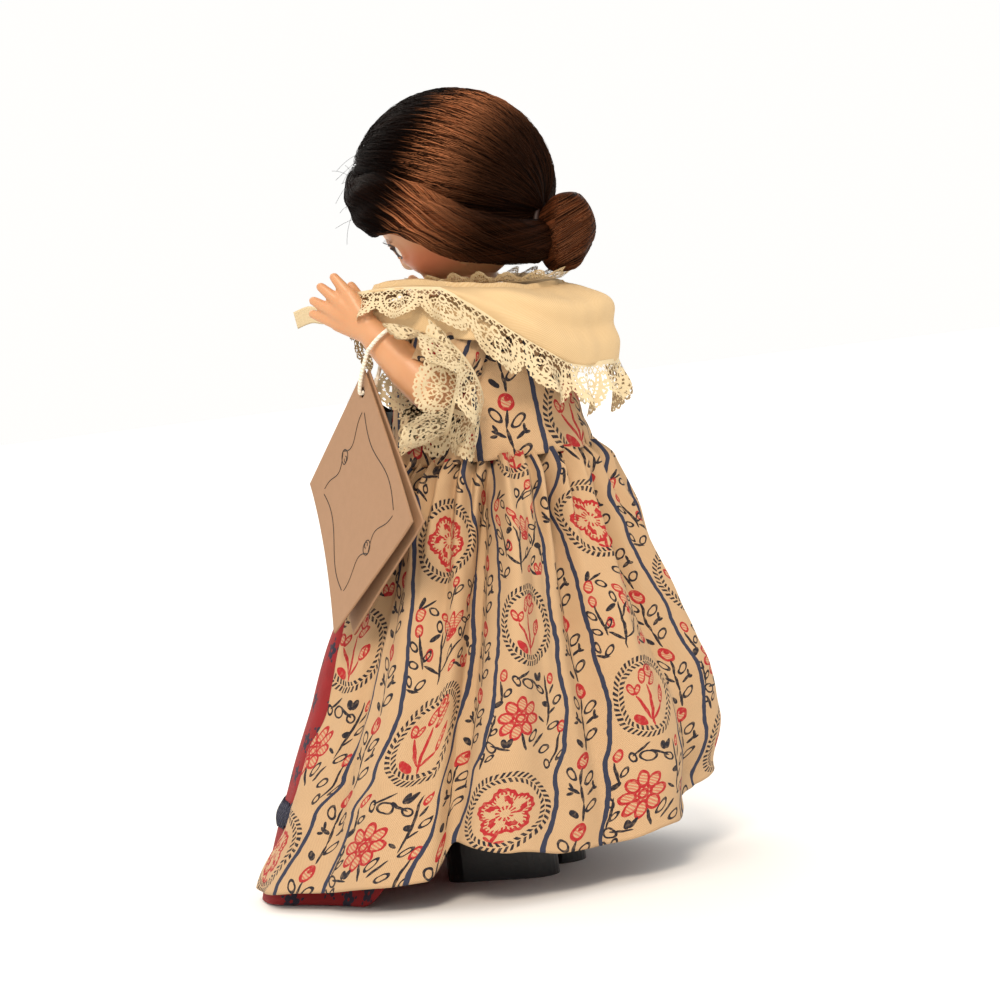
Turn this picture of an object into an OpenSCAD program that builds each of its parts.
// Strung hard plastic costume doll in a colonial dress, standing on its shoes.
// Millimetres, +Z up, the doll faces -Y, its left is +X.

/* [Body] */
// Height of the hip axis above the floor
hip_z = 88; // [86:1:92]
// Half the distance between the two hip joints
hip_x = 9.6; // [9.4:0.1:10.4]
// Radius of the ball at the top of each leg
hip_ball_r = 9; // [8:0.5:9]
// Largest radius of the torso
torso_r = 17.5; // [16:0.5:18]
// Wall of the hollow torso and head
wall = 1.8; // [1.2:0.2:2.4]
// Height of the neck ball, on which the head turns
neck_z = 150; // [149:0.5:151]
// Radius of the neck ball
neck_ball_r = 7.4; // [6.5:0.2:7.8]

/* [Head] */
// Radius of the skull
skull_r = 20; // [18:0.5:20.5]
// Half height of the skull
skull_half_h = 23; // [21:0.5:24]
// How far the head is bowed
head_bow = 18; // [10:1:22]
// Radius of each sleep eye
eye_r = 4.4; // [3.6:0.2:4.6]
// Half the distance between the eyes
eye_x = 8.4; // [7.8:0.2:9]
// Thickness of the combed hair over the skull
hair_t = 5; // [4:0.5:6]
// Height of the bun
bun_h = 21; // [16:1:23]
// Width of the bun
bun_w = 15; // [12:1:16]

/* [Arms] */
// Height of the shoulder axis
shoulder_z = 138; // [136:0.5:139]
// Radius of the forearm at the wrist
wrist_r = 4.6; // [3.8:0.2:5]
// Radius of the arm at the elbow
elbow_r = 6; // [5:0.2:6.4]
// Radius of the sleeve around the upper arm
sleeve_r = 8; // [7:0.2:8.4]
// Depth of one lace ruffle on the sleeve
ruffle_h = 9; // [6:0.5:10]

/* [Legs] */
// Radius of the knee
knee_r = 6.2; // [5:0.2:7]
// Length of the shoe
shoe_len = 28; // [24:1:30]
// Width of the shoe
shoe_w = 13; // [11:0.5:14]
// Height of the shoe at the instep
shoe_h = 9; // [7:0.5:11]
// Thickness of the shoe sole
sole_t = 1.6; // [1:0.2:2.4]

/* [Dress] */
// Height of the waist seam
waist_z = 107; // [105:0.5:109]
// Radius of the skirt at the waist
waist_r = 24; // [23:0.5:26]
// Reach of the skirt in front at the hem
skirt_front = 71; // [60:1:80]
// Reach of the skirt behind at the hem
skirt_back = 50; // [44:1:60]
// Half width of the skirt at the hem
skirt_side = 57; // [48:1:64]
// Thickness of the printed cotton
cloth_t = 0.9; // [0.6:0.1:1.2]
// Angle from the front to the open edge of the overskirt
front_open = 36; // [28:1:50]
// Gap between the petticoat and the overskirt
skirt_gap = 2; // [1.4:0.1:3]

/* [Fichu] */
// Reach of the fichu behind
fichu_r = 39; // [37:0.5:42]
// Thickness of the fichu cloth
fichu_t = 1.2; // [0.8:0.1:1.4]
// Depth of the lace around the fichu
lace_h = 7; // [4:0.5:9]
// Thickness of all lace
lace_t = 0.7; // [0.5:0.1:1]

/* [Tag] */
// Size of the folded card along its fold
tag_fold = 42; // [30:1:44]
// Size of the folded card away from its fold
tag_w = 50; // [36:1:52]
// Thickness of one leaf of card
card_t = 0.5; // [0.3:0.1:0.8]
// Thickness of the string
string_d = 1; // [0.6:0.1:1.2]

/* [Hidden] */
$fn = 48;
// Clearance of pieces that turn in each other
run = 0.08;
// Clearance of pieces that are put on, such as a sleeve or a shoe
fit = 0.3;
// Where the body axis stands, so that the origin is in the middle under the skirt
skirt_mid = (skirt_front - skirt_back) / 2;
axis_y = skirt_mid - (cloth_t + skirt_gap) / 2;
ball_gap = 0.35;
torso_low = hip_z - 1.5;
shoulder_x = 14.6;
arm_pin_r = 2.6;
hook_r = 0.8;
elastic_r = 1.1;
neck_hole_r = 1.6;
// The arm runs from the shoulder to the elbow, the wrist and the knuckles
arm_s = [18.5, 3, shoulder_z];
arm_e = [30, -1, shoulder_z - 13.5];
arm_w = [29.5, -13.5, shoulder_z];
arm_k = [28.5, -20.5, shoulder_z + 6.5];
armhole_r = 14.2;
// Skull and hair in the frame of the head, which has the neck ball as origin
skull_c = [0, 5, skull_half_h - 1.5];
hair_c = [0, 6, skull_half_h];
hair_r = skull_r + hair_t;
hair_half_h = skull_half_h + hair_t - 1.5;
eye_c = [0, -8.3, 14];
weight_turn = -130;
hairline_tilt = 22;
roll_r = 2.4;
roll_ring = skull_r + 4.2;
bun_c = [0, 27.2, neck_z + 9];
// Skirt cloth and its rows
skirt_rows = 7;
skirt_cols = 48;
petti_off = -(cloth_t + skirt_gap);
braid_t = 0.8;
// Tag corner by the string, and the two edges from it
tag_p = [30.6, -16.3, shoulder_z - 6.9];
tag_u = [-0.4187, -0.6292, -0.6555];
tag_v = [0.5258, 0.4164, -0.7417];
tag_n = cross(tag_u, tag_v);
tag_hole = [4, 4];
hole_r = 1.4;
leaf_gap = 0.8;

// Small helpers
function step3(a, b, x) =
  let (k = max(0, min(1, (x - a) / (b - a)))) k * k * (3 - 2 * k);
function unit(v) = v / norm(v);
function on_tag(a, b, c) = tag_p + a * tag_u + b * tag_v + c * tag_n;

module place() {
  translate([0, axis_y, 0]) children();
}

module in_head() {
  translate([0, 0, neck_z]) rotate([head_bow, 0, 0]) children();
}

module mirrored(side) {
  if (side > 0) {
    children();
  } else {
    mirror([1, 0, 0]) children();
  }
}

// A cone between two points
module rod(a, b, ra, rb) {
  d = b - a;
  translate(a)
    rotate([0, acos(d[2] / norm(d)), atan2(d[1], d[0])])
      cylinder(h = norm(d), r1 = ra, r2 = rb);
}

module egg(r, half_h) {
  rotate_extrude()
    intersection() {
      polygon([for (i = [0:24]) let (a = -90 + 7.5 * i) [r * cos(a), half_h * sin(a)]]);
      translate([0, -half_h - 1]) square([r + 1, 2 * half_h + 2]);
    }
}

module lathe(points) {
  rotate_extrude() polygon(points);
}

// A closed sheet of cloth between two grids of points, columns first
module cloth(front, back, wrap) {
  n = len(front);
  m = len(front[0]);
  last = wrap ? n - 1 : n - 2;
  points = concat([for (c = front) for (p = c) p], [for (c = back) for (p = c) p]);
  off = n * m;
  skin = [for (i = [0:last]) for (j = [0:m - 2])
    let (a = i * m + j, b = ((i + 1) % n) * m + j) each [
      [a, b, b + 1], [a, b + 1, a + 1],
      [off + a, off + b + 1, off + b], [off + a, off + a + 1, off + b + 1]]];
  rims = [for (i = [0:last]) let (a = i * m, b = ((i + 1) % n) * m, e = m - 1) each [
    [a, off + b, b], [a, off + a, off + b],
    [a + e, b + e, off + b + e], [a + e, off + b + e, off + a + e]]];
  ends = wrap ? [] : [for (j = [0:m - 2]) let (a = j, b = (n - 1) * m + j) each [
    [a, a + 1, off + a + 1], [a, off + a + 1, off + a],
    [b, off + b + 1, b + 1], [b, off + b, off + b + 1]]];
  polyhedron(points, concat(skin, rims, ends), convexity = 6);
}

// A round tube along a route
module tube(route, r) {
  n = len(route);
  sides = 8;
  rings = [for (i = [0:n - 1])
    let (d = unit(route[min(i + 1, n - 1)] - route[max(i - 1, 0)]),
      s = unit(cross(d, tag_u)), t = cross(d, s))
      [for (k = [0:sides - 1]) route[i] + r * (cos(360 * k / sides) * s
        + sin(360 * k / sides) * t)]];
  points = [for (c = rings) for (p = c) p];
  skin = [for (i = [0:n - 2]) for (k = [0:sides - 1])
    let (a = i * sides + k, b = i * sides + (k + 1) % sides) each [
      [a, b + sides, b], [a, a + sides, b + sides]]];
  caps = [[for (k = [0:sides - 1]) k],
    [for (k = [0:sides - 1]) (n - 1) * sides + sides - 1 - k]];
  polyhedron(points, concat(skin, caps), convexity = 8);
}

// Torso
module torso_outer(grow) {
  lathe([[0, torso_low], [torso_r - 0.5 + grow, torso_low], [torso_r + 0.4 + grow, hip_z + 4],
    [16.2 + grow, waist_z], [torso_r - 0.6 + grow, waist_z + 12], [torso_r - 0.4 + grow, 130],
    [15 + grow, 136], [11 + grow, 141.5], [neck_ball_r - 0.5 + grow, 144],
    [neck_ball_r - 0.5 + grow, neck_z], [0, neck_z]]);
}

module torso_shape() {
  difference() {
    union() {
      torso_outer(0);
      translate([0, 0, neck_z]) sphere(neck_ball_r);
    }
    lathe([[0, hip_z + 12], [15.5 - wall, hip_z + 12], [16 - wall, waist_z],
      [torso_r - 0.6 - wall, waist_z + 12], [torso_r - 0.6 - wall, 130], [13 - wall, 136],
      [neck_ball_r - 2.6, 142], [0, 142]]);
    for (s = [-1, 1]) {
      translate([s * hip_x, 0, hip_z]) sphere(hip_ball_r + ball_gap);
      translate([s * shoulder_x, arm_s[1], shoulder_z]) rotate([0, s * 90, 0]) cylinder(h = 9, r = 6.6);
    }
    translate([-20, arm_s[1], shoulder_z]) rotate([0, 90, 0]) cylinder(h = 40, r = arm_pin_r + run);
    translate([-hip_x, 0, hip_z]) rotate([0, 90, 0]) cylinder(h = 2 * hip_x, r = elastic_r + fit);
    translate([0, 0, 130]) cylinder(h = 40, r = neck_hole_r);
  }
}

module torso_front() {
  color("#e8b088") difference() {
    torso_shape();
    translate([-40, 0, 60]) cube([80, 40, 120]);
  }
}

module torso_back() {
  color("#e3aa82") difference() {
    torso_shape();
    translate([-40, -40, 60]) cube([80, 40, 120]);
  }
}

// The hook turns with the head: a button above the cup and a knob below the neck
module neck_hook() {
  color("#b8b8bc") {
    translate([0, 0, neck_z + 9.8]) cylinder(h = 1.2, r = 3.6);
    translate([0, 0, shoulder_z]) cylinder(h = neck_z + 10 - shoulder_z, r = hook_r);
    translate([0, 0, shoulder_z - 0.6]) cylinder(h = 1.7, r = 1.7);
  }
}

// The band lies on the knob of the neck hook and on the elastic of the arms
module neck_elastic() {
  color("#d9d2c4") difference() {
    translate([-2.4, -2.4, shoulder_z + 1.3]) cube([4.8, 7.2, 1.2]);
    translate([0, 0, shoulder_z]) cylinder(h = 10, r = hook_r + fit);
  }
}

module arm_elastic() {
  reach = shoulder_x - wall - 2;
  color("#d9d2c4") translate([-reach, arm_s[1], shoulder_z]) rotate([0, 90, 0])
    cylinder(h = 2 * reach, r = elastic_r);
}

module hip_elastic() {
  reach = hip_x + 1.4;
  color("#d9d2c4") translate([-reach, 0, hip_z]) rotate([0, 90, 0])
    cylinder(h = 2 * reach, r = elastic_r);
}

module pantaloon_seat() {
  in_r = max(torso_r + 1.2, hip_x + hip_ball_r + fit);
  color("#f2ead8") lathe([[in_r, hip_z], [in_r + 1, hip_z], [in_r + 0.6, waist_z - 3.5],
    [16.9, waist_z - 3.5], [torso_r + 0.4, hip_z + 13], [in_r, hip_z + 9]]);
}

// Dress
module bodice() {
  color("#dfc08c") difference() {
    lathe([[16.6, waist_z], [waist_r - 0.5, waist_z], [waist_r - 1.4, waist_z + 5],
      [19.6, waist_z + 11], [19.2, 130], [17.6, 138], [13.6, 144], [13.6, 146], [12.2, 146],
      [12.2, 141.4], [15.6, 136.2], [torso_r, 130], [torso_r - 0.2, waist_z + 12]]);
    for (s = [-1, 1]) translate([s * 16.4, arm_s[1], shoulder_z]) rotate([0, s * 90, 0])
      cylinder(h = 14, r = armhole_r);
    for (s = [-1, 1]) translate([s * 12, arm_s[1], shoulder_z]) rotate([0, s * 90, 0])
      cylinder(h = 14, r = 7);
    translate([-2.6, 15, waist_z + 1]) cube([5.2, 12, 25]);
  }
}

module back_placket() {
  color("#d8b985") translate([-2.4, 19, waist_z + 1.2]) difference() {
    cube([4.8, 1.6, 24.6]);
    for (k = [0:2]) translate([2.4, 3, 3.5 + 8.8 * k]) rotate([90, 0, 0]) cylinder(h = 4, r = 1.3 + run);
  }
}

module back_snaps() {
  color("#9c9ca4") for (k = [0:2])
    translate([0, 20.6, waist_z + 4.7 + 8.8 * k]) rotate([90, 0, 0]) cylinder(h = 1.4, r = 1.3);
}

// Skirt cloth: angle from the front, share of the way down, offset, hem heights
function hem_z(a, front, back) = front + (back - front) * pow((1 - cos(a)) / 2, 2);
function skirt_p(a, t, off, hem) =
  let (w = pow(t, 0.85), mid = -skirt_mid * w, sx = waist_r + (skirt_side - waist_r) * w,
    sy = waist_r + ((skirt_front + skirt_back) / 2 - waist_r) * w)
    [(sx + off) * sin(a), mid - (sy + off) * cos(a),
      waist_z - fit - t * (waist_z - fit - hem)];
function skirt_grid(a0, a1, n, off, t0, t1, m, front, back) =
  [for (i = [0:n]) let (a = a0 + (a1 - a0) * i / n)
    [for (j = [0:m]) skirt_p(a, t0 + (t1 - t0) * j / m, off, hem_z(a, front, back))]];

module overskirt() {
  color("#dfc08c") cloth(
    skirt_grid(front_open, 360 - front_open, skirt_cols, 0, 0, 1, skirt_rows, 4, 14),
    skirt_grid(front_open, 360 - front_open, skirt_cols, -cloth_t, 0, 1, skirt_rows, 4, 14), false);
}

module petticoat() {
  turn = 360 - 360 / skirt_cols;
  color("#a81216") cloth(
    skirt_grid(0, turn, skirt_cols - 1, petti_off, 0, 1, skirt_rows, 1, 12),
    skirt_grid(0, turn, skirt_cols - 1, petti_off - cloth_t, 0, 1, skirt_rows, 1, 12), true);
}

module petticoat_braid() {
  edge = front_open - 2;
  color("#23283f") cloth(
    skirt_grid(-edge, edge, 12, petti_off + 0.2 + braid_t, 0.76, 0.81, 1, 1, 12),
    skirt_grid(-edge, edge, 12, petti_off + 0.2, 0.76, 0.81, 1, 1, 12), false);
}

module bodice_bow() {
  color("#17161b") translate([0, -waist_r + 0.4, waist_z + 10]) {
    translate([-1.6, -1.2, -1.6]) cube([3.2, 1.6, 3.2]);
    for (s = [-1, 1]) {
      rotate([0, 90 - s * 90, 0]) translate([1.5, -1, 0]) rotate([-90, 0, 0])
        linear_extrude(1.2) polygon([[0, -1], [7, -3.4], [7.6, 0], [7, 3.4], [0, 1]]);
      translate([s * 2.4, -0.7, -5.2]) rotate([0, s * 18, 0]) cube([2.6, 0.8, 8], center = true);
    }
  }
}

// Fichu: neck edge, ridge over the shoulders, outer edge
function away(a) = step3(60, 185, turned(a));
function fichu_z(a) = 149.2 - 28 * away(a);
function turned(a) = abs(a > 180 ? 360 - a : a);
function fichu_reach(a) = fichu_r - 11.5 * (1 - step3(75, 120, turned(a)))
  + 3.5 * (1 - step3(12, 45, turned(a)));
function fichu_ridge(a) = 151.5 - 5.5 * step3(50, 130, turned(a));
function ring_p(a, r, z) = [r * sin(a), -r * cos(a), z];
function fichu_col(a, drop) = [
  ring_p(a, 15.6, 148 - drop), ring_p(a, 20, 148.4 + (fichu_ridge(a) - 149) * 0.7 - drop),
  ring_p(a, 24.5 + 2 * away(a), fichu_ridge(a) - drop),
  ring_p(a, 0.5 * (26 + fichu_reach(a)), 0.45 * fichu_z(a) + 0.55 * fichu_ridge(a) + 1 - drop),
  ring_p(a, fichu_reach(a), fichu_z(a) - drop)];
fichu_a = [for (i = [0:36]) 12 + 336 * i / 36];
lace_a = [for (i = [0:36]) 18 + 324 * i / 36];

module fichu() {
  color("#f0e2a8") cloth([for (a = fichu_a) fichu_col(a, 0)],
    [for (a = fichu_a) fichu_col(a, fichu_t)], false);
}

function lace_col(a, off) = [for (k = [0:1])
  ring_p(a, fichu_reach(a) + off + k * 0.3,
    fichu_z(a) - fichu_t + 0.4 - k * lace_h * (0.2 + 0.8 * away(a)))];

module fichu_lace() {
  color("#e2d3a6") cloth([for (a = lace_a) lace_col(a, fit + lace_t)],
    [for (a = lace_a) lace_col(a, fit)], false);
}

module fichu_end() {
  color("#e2d3a6") translate([5.8, -37.5, 145.9]) rotate([10, 0, -5])
    cube([4, 18, lace_t], center = true);
}

function neck_col(a, off) = [ring_p(a, 15.9 + off, 147.6), ring_p(a, 17.6 + off, 152.4)];

module neck_lace() {
  color("#e2d3a6") translate([0, 0, 0.9]) cloth(
    [for (i = [0:24]) neck_col(70 + 220 * i / 24, lace_t)],
    [for (i = [0:24]) neck_col(70 + 220 * i / 24, 0)], false);
}

// Head
module skull(grow) {
  translate(skull_c) egg(skull_r + grow, skull_half_h + grow);
}

module head_shape() {
  difference() {
    union() {
      difference() {
        skull(0);
        skull(-wall);
      }
      intersection() {
        sphere(neck_ball_r + ball_gap + wall);
        skull(-0.4);
      }
    }
    sphere(neck_ball_r + ball_gap);
    translate([0, 0, -12]) cylinder(h = 12, r = neck_ball_r + ball_gap + 0.9);
    rotate([-head_bow, 0, 0]) cylinder(h = 20, r = 2.6);
    for (s = [-1, 1]) translate(eye_c + [s * eye_x, 0, 0]) sphere(eye_r + ball_gap);
  }
}

module face_shell() {
  color("#ecb78e") in_head() difference() {
    head_shape();
    translate([-40, skull_c[1], -20]) cube([80, 60, 100]);
  }
}

module skull_shell() {
  color("#e6ae86") in_head() difference() {
    head_shape();
    translate([-40, skull_c[1] - 60, -20]) cube([80, 60, 100]);
  }
}

// The bracket stands on the inside of the face between the eyes
module eye_bracket() {
  color("#d8cfc0") in_head() difference() {
    intersection() {
      translate([-2.6, -20, eye_c[2] - 1.6]) cube([5.2, 14, 3.2]);
      skull(-wall - 0.15);
    }
    translate([-5, eye_c[1], eye_c[2]]) rotate([0, 90, 0]) cylinder(h = 10, r = hook_r + run);
    translate([-1.4, -11, eye_c[2] - 4]) cube([2.8, 8, 8]);
  }
}

module eye_ball(s) {
  in_head() translate(eye_c + [s * eye_x, 0, 0]) sphere(eye_r);
}

module eye_left() {
  color("#f4f0ea") eye_ball(1);
}

module eye_right() {
  color("#f4f0ea") eye_ball(-1);
}

module eye_bar() {
  reach = eye_x - eye_r - 0.05;
  color("#b8b8bc") in_head() translate(eye_c) {
    translate([-reach, 0, 0]) rotate([0, 90, 0]) cylinder(h = 2 * reach, r = hook_r);
    rotate([weight_turn, 0, 0]) cylinder(h = 3.2, r = 0.7);
  }
}

module eye_weight() {
  color("#77787c") in_head() translate(eye_c) rotate([weight_turn, 0, 0]) translate([0, 0, 3.2])
    cylinder(h = 2, r = 1.6);
}

// Above the hairline, which is high in front and low behind
module over_hairline(shift) {
  translate(skull_c + [0, 0, -3]) rotate([-hairline_tilt, 0, 0]) translate([-40, -40, shift])
    cube([80, 80, 60]);
}

module hair_outer(grow) {
  translate(hair_c) egg(hair_r + grow, hair_half_h + grow);
}

module hair_crown() {
  color("#3a1d14") in_head() intersection() {
    difference() {
      hair_outer(0);
      skull(0.15);
    }
    over_hairline(0);
  }
}

module hair_roll(s) {
  in_head() translate(skull_c + [0, 0, -3]) rotate([-hairline_tilt, 0, 0])
    translate([0, 0, -roll_r - 0.15]) mirrored(s) rotate([0, 0, -40])
      rotate_extrude(angle = 112) translate([roll_ring, 0]) circle(roll_r);
}

module hair_roll_left() {
  color("#341910") hair_roll(1);
}

module hair_roll_right() {
  color("#341910") hair_roll(-1);
}

module hair_bun() {
  color("#2d150e") difference() {
    translate(bun_c) egg(bun_w / 2, bun_h / 2);
    in_head() hair_outer(0.15);
  }
}

module bun_tie() {
  color("#20100b") translate(bun_c + [0, 1, 0]) difference() {
    lathe([[bun_w / 2 + 0.1, -1], [bun_w / 2 + 0.9, -1], [bun_w / 2 + 0.9, 1], [bun_w / 2 + 0.1, 1]]);
    translate([-20, -20, -5]) cube([40, 19, 10]);
  }
}

// Arm with a bent elbow, a palm and spread fingers
module arm_solid() {
  rod([shoulder_x + 0.1, arm_s[1], arm_s[2]], arm_s, 6.3, 6.1);
  translate(arm_s) sphere(6.2);
  rod(arm_s, arm_e, 5.5, elbow_r - 0.2);
  translate(arm_e) sphere(elbow_r);
  rod(arm_e, arm_w, elbow_r - 0.2, wrist_r);
  translate(arm_w) sphere(wrist_r + 0.15);
  rod(arm_w, arm_k, wrist_r - 0.1, 4.1);
  translate(arm_k) sphere(4.2);
  for (i = [0:3]) {
    base = arm_k + [-3 + 2 * i, -1.2, 1.2 - 0.9 * abs(i - 1.5)];
    tip = base + [-1.6 + 1.1 * i, -5.4, 4.8];
    rod(base, tip, 1.4, 1.15);
    translate(tip) sphere(1.2);
  }
  thumb = arm_k + [-3.4, 1, 0.5];
  rod(thumb, thumb + [-3.2, -3.6, 2.4], 1.6, 1.3);
  translate(thumb + [-3.2, -3.6, 2.4]) sphere(1.35);
}

module arm(s) {
  mirrored(s) difference() {
    union() {
      difference() {
        arm_solid();
        translate([shoulder_x - 9.8, -20, 100]) cube([10, 60, 60]);
      }
      translate([shoulder_x - wall - 0.4, arm_s[1], arm_s[2]]) rotate([0, 90, 0]) cylinder(h = 4, r = arm_pin_r);
    }
    translate([shoulder_x - 5, arm_s[1], arm_s[2]]) rotate([0, 90, 0]) cylinder(h = 9, r = hook_r + run);
  }
}

module arm_hook(s) {
  mirrored(s) translate([shoulder_x - wall - 1.2, arm_s[1], arm_s[2]]) {
    rotate([0, 90, 0]) cylinder(h = 6, r = hook_r);
    translate([0, 0, -1.6]) cylinder(h = 3.2, r = 0.6);
  }
}

module sleeve(s) {
  mirrored(s) difference() {
    union() {
      translate(arm_s) sphere(sleeve_r);
      rod(arm_s, arm_e, sleeve_r - 0.2, sleeve_r + 0.2);
      translate(arm_e) sphere(sleeve_r + 0.4);
    }
    translate([arm_s[0] - 10.2, -20, 100]) cube([9.6, 60, 60]);
    rod(arm_s - [4, 0, 0], arm_s, 6.7, 6.6);
    translate(arm_s) sphere(6.6);
    rod(arm_s, arm_e, 6.3, elbow_r + 0.2);
    translate(arm_e) sphere(elbow_r + 0.4);
    rod(arm_e, arm_w, elbow_r + 0.3, wrist_r + 0.5);
    translate(arm_e + 0.16 * (arm_w - arm_e)) rotate([43, 0, 0]) cylinder(h = 20, r = 14);
  }
}

// A lace ruffle that falls from the end of the sleeve, open where the forearm comes out
module sleeve_lace(s) {
  in_r = sleeve_r + 0.4 + fit;
  d = arm_e - arm_s;
  mirrored(s) difference() {
    translate(arm_e) rotate([0, acos(d[2] / norm(d)), atan2(d[1], d[0])])
      lathe([[in_r, -1.5], [in_r + lace_t, -1.5], [in_r + lace_t + 0.2, ruffle_h - 1], [in_r + 0.2, ruffle_h - 1]]);
    rod(arm_e, arm_w, elbow_r + 0.8, wrist_r + 0.9);
  }
}

module arm_left() {
  color("#e8b088") arm(1);
}

module arm_right() {
  color("#e8b088") arm(-1);
}

module arm_hook_left() {
  color("#b8b8bc") arm_hook(1);
}

module arm_hook_right() {
  color("#b8b8bc") arm_hook(-1);
}

module sleeve_left() {
  color("#dfc08c") sleeve(1);
}

module sleeve_right() {
  color("#dfc08c") sleeve(-1);
}

module sleeve_lace_left() {
  color("#e2d3a6") sleeve_lace(1);
}

module sleeve_lace_right() {
  color("#e2d3a6") sleeve_lace(-1);
}

// Leg: ball, thigh, knee, calf, ankle and a foot inside the shoe
ankle_z = shoe_h + sole_t + 1;
foot_len = shoe_len - 4;
leg_side = [[0, 3], [4.4, 3], [4.6, ankle_z + 1], [6.3, 34], [knee_r, 46], [7.4, hip_z - 7], [7.6, hip_z - 4], [0, hip_z - 4]];

module leg(s) {
  translate([s * hip_x, 0, 0]) difference() {
    union() {
      translate([0, 0, hip_z]) sphere(hip_ball_r);
      lathe(leg_side);
      foot(0, sole_t + 0.6, shoe_h - 2.4);
    }
    translate([-s * 14, 0, hip_z]) rotate([0, s * 90, 0]) cylinder(h = 17, r = elastic_r + fit);
    translate([s * 2.4, 0, hip_z - 3]) cylinder(h = 6, r = hook_r + run);
  }
}

heel_y = 3.6;
toe_y = 10 - foot_len;
function arc2(y, r, a0) = [for (i = [0:12]) [r * cos(a0 + 15 * i), y + r * sin(a0 + 15 * i)]];

module foot_outline(grow) {
  polygon(concat(arc2(heel_y, shoe_w / 2 - 1.9 + grow, 0), arc2(toe_y, shoe_w / 2 - 1.2 + grow, 180)));
}

module foot(grow, low, h) {
  translate([0, 0, low]) linear_extrude(h) foot_outline(grow);
}

module leg_hook(s) {
  translate([s * (hip_x + 2.4), 0, hip_z - 3]) cylinder(h = 6, r = hook_r);
}

module pantaloon(s) {
  translate([s * hip_x, 0, 0])
    lathe([[knee_r + 0.6, 40], [8.6, 39], [8.9, 44], [9, hip_z - 9], [8, hip_z - 9], [7.7, hip_z - 12], [6.8, 47]]);
}

module stocking(s) {
  translate([s * hip_x, 0, 0])
    lathe([[4.95, ankle_z + 1.6], [5.5, ankle_z + 1.6], [7.1, 33], [7.1, 36], [6.6, 36], [6.6, 33.4]]);
}

module shoe(s) {
  translate([s * hip_x, 0, 0]) difference() {
    foot(1, sole_t, shoe_h);
    foot(0.15, sole_t + 0.5, shoe_h - 2.2);
    translate([0, 0, sole_t + 2]) cylinder(h = 12, r = 4.75);
    translate([0, -6, shoe_h - 0.8]) rotate([90, 0, 0]) cylinder(h = 9, r = 4);
    translate([0, 0, shoe_h + 1.4]) cube([20, 12, 3.2], center = true);
  }
}

module sole(s) {
  translate([s * hip_x, 0, 0]) foot(1, 0, sole_t);
}

// A flat strap over the instep with a button on its outer end
module strap(s) {
  translate([s * hip_x, -7.6, sole_t + shoe_h + 0.1]) {
    translate([-shoe_w / 2 + 0.6, -1.2, 0]) cube([shoe_w - 1.2, 2.4, 0.8]);
    translate([s * (shoe_w / 2 - 2), 0, 0.9]) sphere(0.9);
  }
}

module leg_left() {
  color("#e8b088") leg(1);
}

module leg_right() {
  color("#e8b088") leg(-1);
}

module leg_hook_left() {
  color("#b8b8bc") leg_hook(1);
}

module leg_hook_right() {
  color("#b8b8bc") leg_hook(-1);
}

module pantaloon_left() {
  color("#f2ead8") pantaloon(1);
}

module pantaloon_right() {
  color("#f2ead8") pantaloon(-1);
}

module stocking_left() {
  color("#f4f0e6") stocking(1);
}

module stocking_right() {
  color("#f4f0e6") stocking(-1);
}

module shoe_left() {
  color("#111013") shoe(1);
}

module shoe_right() {
  color("#111013") shoe(-1);
}

module sole_left() {
  color("#1b191c") sole(1);
}

module sole_right() {
  color("#1b191c") sole(-1);
}

module strap_left() {
  color("#151417") strap(1);
}

module strap_right() {
  color("#151417") strap(-1);
}

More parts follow.
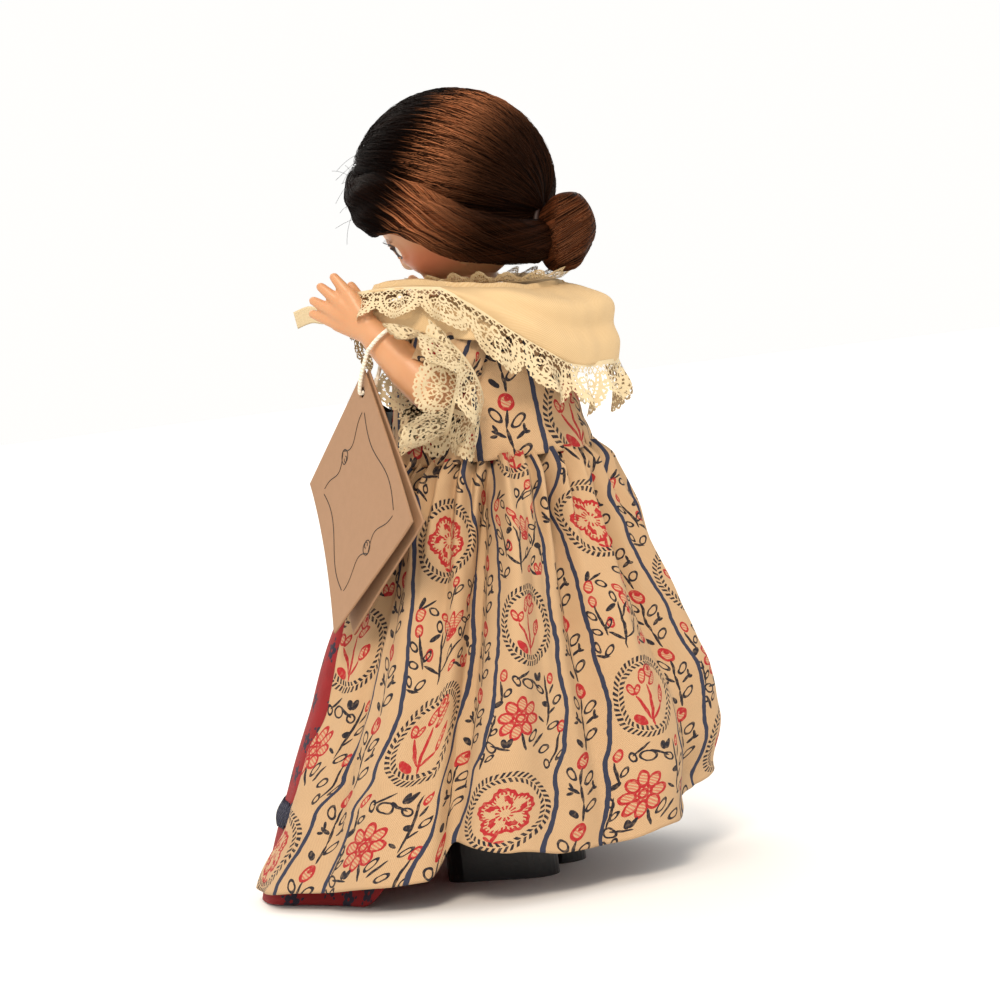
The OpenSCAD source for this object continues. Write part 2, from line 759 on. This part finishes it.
// Tag: two leaves of card that meet at the fold, and the string through their corner
module leaf(low) {
  multmatrix([
    [tag_u[0], tag_v[0], tag_n[0], tag_p[0]],
    [tag_u[1], tag_v[1], tag_n[1], tag_p[1]],
    [tag_u[2], tag_v[2], tag_n[2], tag_p[2]],
    [0, 0, 0, 1]])
    translate([0, 0, low]) difference() {
      cube([tag_fold, tag_w, card_t]);
      translate([tag_hole[0], tag_hole[1], -1]) cylinder(h = 3, r = hole_r);
    }
}

module tag_back() {
  color("#c9a17b") leaf(0);
}

module tag_front() {
  color("#cfa883") leaf(card_t + leaf_gap);
}

// The loop goes from the hole up over the wrist and back to the hole
loop_r = wrist_r + 1.1;
fore = unit(arm_w - arm_e);
loop_c = arm_w - 1.2 * fore;
loop_out = unit([1, 0, 0] - fore * fore[0]);
loop_up = cross(fore, loop_out);
hole_p = on_tag(tag_hole[0], tag_hole[1], card_t + leaf_gap / 2);
function loop_p(a) = loop_c + loop_r * (cos(a) * loop_out + sin(a) * loop_up);
string_route = concat(
  [hole_p + 0.5 * tag_n, hole_p + 1.6 * tag_n,
    0.6 * hole_p + 0.4 * loop_p(-28) + 1.4 * tag_n],
  [for (a = [-28:16:212]) loop_p(a)],
  [0.6 * hole_p + 0.4 * loop_p(212) - 1.4 * tag_n, hole_p - 1.6 * tag_n, hole_p - 0.5 * tag_n]);

module tag_string() {
  color("#ece6da") tube(string_route, string_d / 2);
}

place() {
  torso_front();
  torso_back();
  neck_hook();
  neck_elastic();
  arm_elastic();
  hip_elastic();
  pantaloon_seat();
  bodice();
  back_placket();
  back_snaps();
  petticoat();
  petticoat_braid();
  overskirt();
  bodice_bow();
  fichu();
  fichu_lace();
  fichu_end();
  neck_lace();
  face_shell();
  skull_shell();
  eye_bracket();
  hair_crown();
  hair_roll_left();
  hair_roll_right();
  hair_bun();
  bun_tie();
  eye_left();
  eye_right();
  eye_bar();
  eye_weight();
  arm_left();
  arm_hook_left();
  sleeve_left();
  sleeve_lace_left();
  arm_right();
  arm_hook_right();
  sleeve_right();
  sleeve_lace_right();
  leg_left();
  leg_hook_left();
  pantaloon_left();
  stocking_left();
  shoe_left();
  sole_left();
  strap_left();
  leg_right();
  leg_hook_right();
  pantaloon_right();
  stocking_right();
  shoe_right();
  sole_right();
  strap_right();
  tag_back();
  tag_front();
  tag_string();
}
